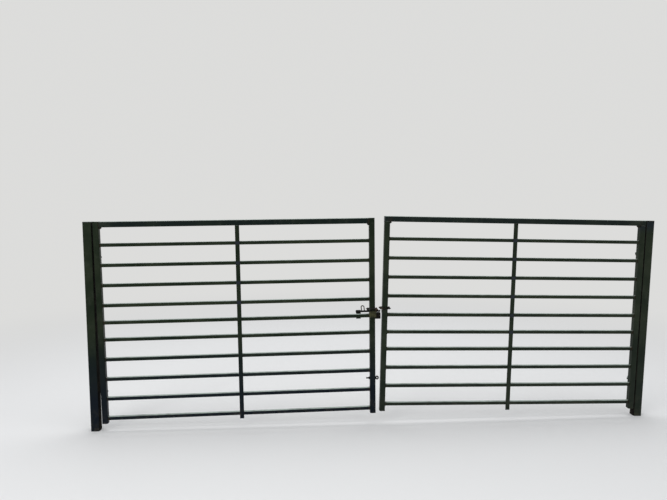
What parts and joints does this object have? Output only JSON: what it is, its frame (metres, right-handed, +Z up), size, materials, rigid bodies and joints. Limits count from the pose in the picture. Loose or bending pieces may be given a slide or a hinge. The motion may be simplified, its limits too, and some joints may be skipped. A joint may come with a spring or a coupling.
{
  "type": "double field gate",
  "caption": "Double-leaf field gate of welded square tube with horizontal bars, hung between square posts; slide bolt, chain, padlock and eye bolt at the meeting stiles.",
  "frame": {"origin": "middle of the left post's foot, at ground level", "axes": "+X along the gate to the right post, +Y to the back, the side the leaves open to, +Z up"},
  "size_m": [4.1389, 0.1203, 1.5327],
  "materials": {
    "frame_paint": "semi-gloss, worn, with dirt splash and rust at the welds",
    "rail_paint": "semi-gloss, weathered, faded on the top faces",
    "bare_steel": "dull, lightly rusted",
    "rusty_steel": "rust brown, matt",
    "dark_metal": "near black, chipped"
  },
  "bodies": {
    "posts": {"left_post": "frame_paint", "left_post_cap": "rail_paint", "right_post": "frame_paint", "right_post_cap": "rail_paint", "left_upper_pintle": "frame_paint", "left_lower_pintle": "frame_paint", "right_upper_pintle": "frame_paint", "right_lower_pintle": "frame_paint"},
    "left_leaf": {"left_top_rail": "rail_paint", "left_hinge_stile": "frame_paint", "left_free_stile": "frame_paint", "left_middle_upright": "frame_paint", "left_bar_1": "frame_paint", "left_bar_2": "frame_paint", "left_bar_3": "frame_paint", "left_bar_4": "frame_paint", "left_bar_5": "frame_paint", "left_bar_6": "frame_paint", "left_bar_7": "frame_paint", "left_bar_8": "frame_paint", "left_bar_9": "frame_paint", "left_bottom_bar": "frame_paint", "left_upper_eye": "frame_paint", "left_lower_eye": "frame_paint", "left_bolt_sleeve": "frame_paint", "left_bolt_guide": "frame_paint", "left_lock_box": "dark_metal", "left_eye_bolt": "bare_steel", "left_chain": "rusty_steel", "padlock_shackle": "bare_steel", "padlock_body": "dark_metal"},
    "right_leaf": {"right_top_rail": "rail_paint", "right_hinge_stile": "frame_paint", "right_free_stile": "frame_paint", "right_middle_upright": "frame_paint", "right_bar_1": "frame_paint", "right_bar_2": "frame_paint", "right_bar_3": "frame_paint", "right_bar_4": "frame_paint", "right_bar_5": "frame_paint", "right_bar_6": "frame_paint", "right_bar_7": "frame_paint", "right_bar_8": "frame_paint", "right_bar_9": "frame_paint", "right_bottom_bar": "frame_paint", "right_upper_eye": "frame_paint", "right_lower_eye": "frame_paint", "right_keeper_lugs": "frame_paint", "right_keeper_strap": "frame_paint", "right_chain": "rusty_steel"},
    "bolt": {"slide_bolt": "bare_steel"}
  },
  "joints": [
    {"name": "left_leaf_hinge", "type": "hinge", "parent": "posts", "child": "left_leaf", "pos_m": [0.0321, 0.051, 0.26817], "axis": [-0.0052, 0, 1], "range_deg": [0, 100]},
    {"name": "right_leaf_hinge", "type": "hinge", "parent": "posts", "child": "right_leaf", "pos_m": [4.01629, 0.051, 0.27454], "axis": [-0.0175, 0, -0.9998], "range_deg": [0, 100]},
    {"name": "bolt_slide", "type": "slide", "parent": "left_leaf", "child": "bolt", "axis": [0.9999, 0, 0.014], "range_m": [0, 0.021]}
  ]
}
